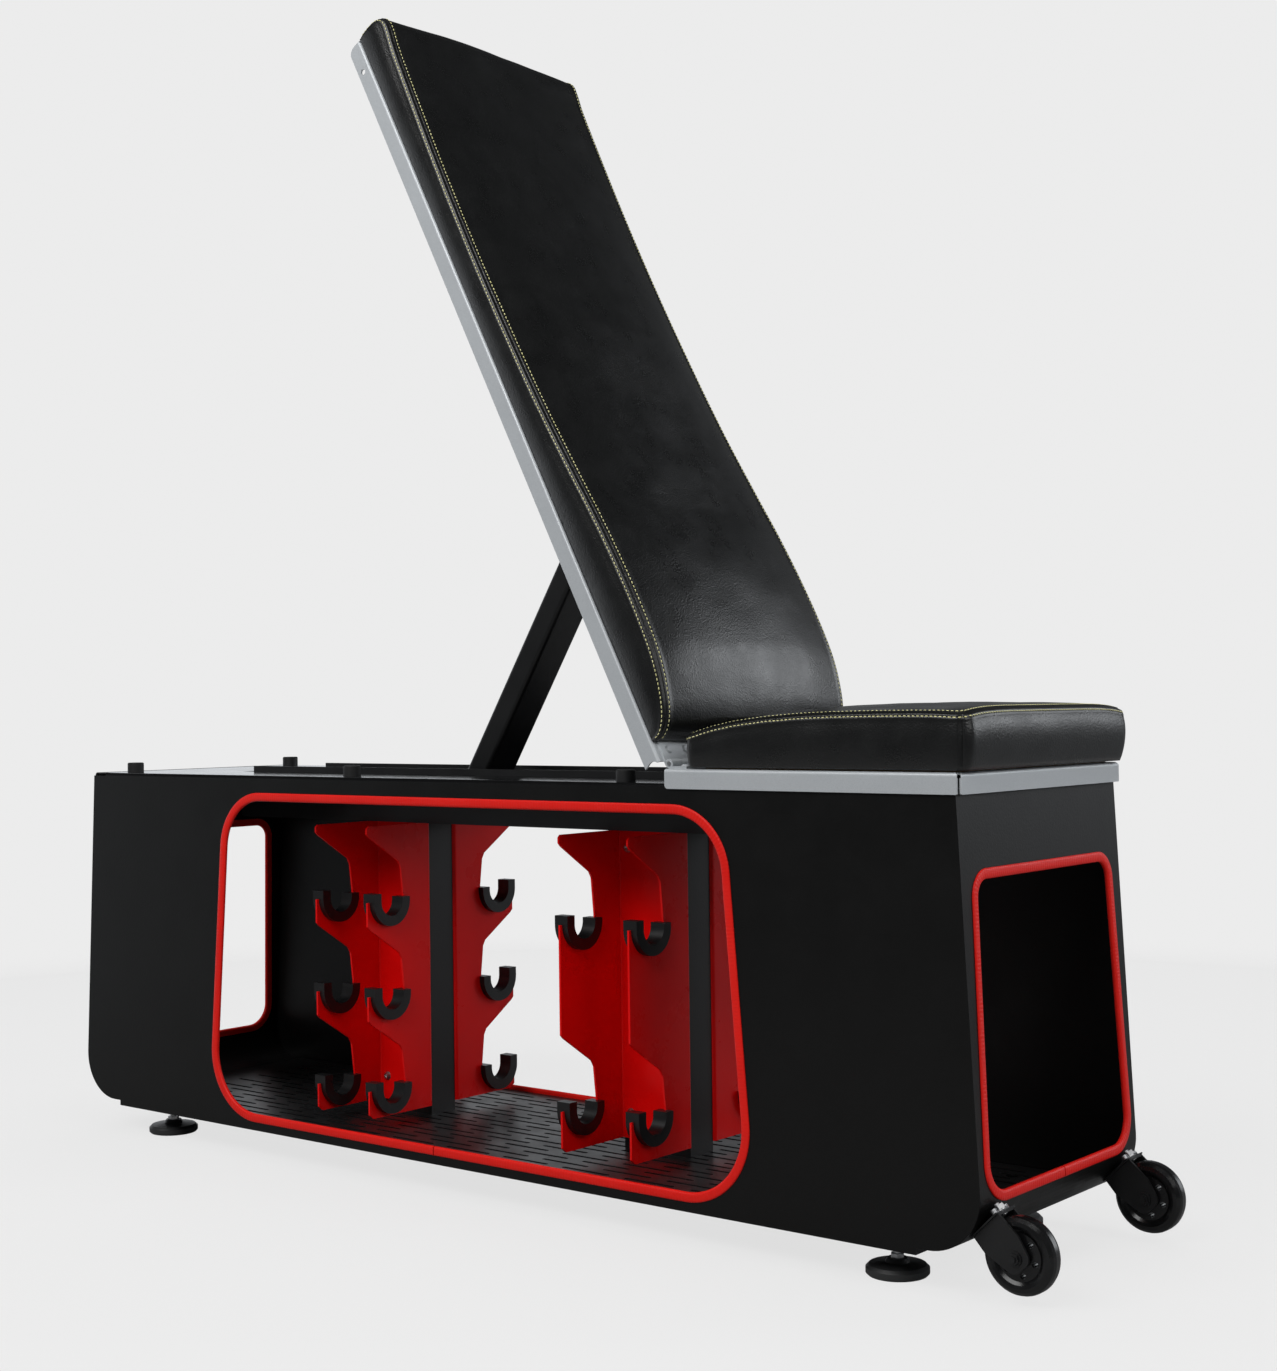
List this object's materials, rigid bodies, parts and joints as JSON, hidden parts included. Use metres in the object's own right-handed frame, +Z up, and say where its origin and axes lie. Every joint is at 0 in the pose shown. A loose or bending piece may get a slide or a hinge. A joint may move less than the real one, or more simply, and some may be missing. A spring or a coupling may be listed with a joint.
{
  "type": "adjustable weight bench",
  "caption": "Weight bench with a hinged, strut-propped backrest and a fixed seat pad on a low sheet-steel storage cabinet with open sides, handle racks, transport wheels and levelling feet",
  "frame": {"origin": "centre of the bounding box in plan, on the floor", "axes": "+X along the bench towards the seat and the transport wheels, +Y across it, +Z up; the backrest leans towards -X"},
  "size_m": [1.3841, 0.33, 1.3221],
  "materials": {
    "cabinet_black": "satin black powder coat",
    "tray_black": "satin dark powder coat",
    "trim_red": "bright red flexible edging",
    "rack_red": "gloss red powder coat",
    "strut_black": "satin black powder coat",
    "tray_silver": "fine metallic silver coat",
    "pad_leather": "black fine-grain upholstery, double stitched",
    "board_wood": "plain plywood",
    "zinc_steel": "zinc plated",
    "black_steel": "black oxide",
    "bumper_rubber": "black rubber",
    "saddle_plastic": "moulded black, slightly shiny",
    "wheel_gloss": "gloss black moulded"
  },
  "bodies": {
    "cabinet": {"side_panel_near": "cabinet_black", "side_panel_far": "cabinet_black", "end_panel_head": "cabinet_black", "end_panel_foot": "cabinet_black", "top_plate": "cabinet_black", "strut_trough": "tray_black", "ladder_rails": "black_steel", "floor_tray": "tray_black", "base_pan": "cabinet_black", "opening_trim_near": "trim_red", "opening_trim_far": "trim_red", "opening_trim_head": "trim_red", "opening_trim_foot": "trim_red", "rack_column_head": "strut_black", "rack_column_foot": "strut_black", "rack_head_near": "rack_red", "rack_head_far": "rack_red", "rack_foot_near": "rack_red", "rack_foot_far": "rack_red", "saddles_head_near": "saddle_plastic", "saddles_head_far": "saddle_plastic", "saddles_foot_near": "saddle_plastic", "saddles_foot_far": "saddle_plastic", "rack_screws": "zinc_steel", "bumpers": "bumper_rubber", "bumper_screws": "zinc_steel", "seat_tray": "tray_silver", "seat_spacers": "black_steel", "seat_board": "board_wood", "seat_pad": "pad_leather", "seat_bolts": "zinc_steel", "hinge_leaves_seat": "tray_silver", "hinge_pins": "zinc_steel", "hinge_rivets_seat": "tray_silver", "foot_nuts": "zinc_steel", "caster_forks": "black_steel", "caster_axles": "black_steel", "caster_bolts": "zinc_steel"},
    "backrest": {"hinge_leaves_back": "tray_silver", "hinge_rivets_back": "tray_silver", "back_tray": "tray_silver", "back_board": "board_wood", "back_pad": "pad_leather", "back_bolts": "zinc_steel", "strut_clevis": "strut_black", "strut_pivot_pin": "zinc_steel"},
    "strut": {"strut_tube": "strut_black", "strut_bush": "zinc_steel", "strut_foot_bar": "zinc_steel", "strut_end_cap": "saddle_plastic"},
    "level_foot_1": {"foot_1": "bumper_rubber", "foot_studs_a": "zinc_steel"},
    "level_foot_2": {"foot_2": "bumper_rubber", "foot_studs_b": "zinc_steel"},
    "level_foot_3": {"foot_3": "bumper_rubber", "foot_studs_c": "zinc_steel"},
    "level_foot_4": {"foot_4": "bumper_rubber", "foot_studs_d": "zinc_steel"},
    "transport_wheel_near": {"wheel_near": "wheel_gloss"},
    "transport_wheel_far": {"wheel_far": "wheel_gloss"}
  },
  "joints": [
    {"name": "backrest_hinge", "type": "hinge", "parent": "cabinet", "child": "backrest", "pos_m": [0.2783, 0, 0.482], "axis": [0, 1, 0], "range_deg": [-62.64, 17.36]},
    {"name": "strut_pivot", "type": "hinge", "parent": "backrest", "child": "strut", "pos_m": [0.08541, 0, 0.78426], "axis": [0, 1, 0], "range_deg": [-34, 121.6]},
    {"name": "level_foot_1_slide", "type": "slide", "parent": "cabinet", "child": "level_foot_1", "axis": [0, 0, 1], "range_m": [-0.006, 0.009]},
    {"name": "level_foot_2_slide", "type": "slide", "parent": "cabinet", "child": "level_foot_2", "axis": [0, 0, 1], "range_m": [-0.006, 0.009]},
    {"name": "level_foot_3_slide", "type": "slide", "parent": "cabinet", "child": "level_foot_3", "axis": [0, 0, 1], "range_m": [-0.006, 0.009]},
    {"name": "level_foot_4_slide", "type": "slide", "parent": "cabinet", "child": "level_foot_4", "axis": [0, 0, 1], "range_m": [-0.006, 0.009]},
    {"name": "transport_wheel_near_spin", "type": "hinge", "parent": "cabinet", "child": "transport_wheel_near", "pos_m": [0.6556, -0.1325, 0.045], "axis": [0, 1, 0], "continuous": true},
    {"name": "transport_wheel_far_spin", "type": "hinge", "parent": "cabinet", "child": "transport_wheel_far", "pos_m": [0.6556, 0.1325, 0.045], "axis": [0, 1, 0], "continuous": true}
  ],
  "couplings": [
    {"joint": "strut_pivot", "follows": "backrest_hinge", "ratio": -1.935}
  ]
}
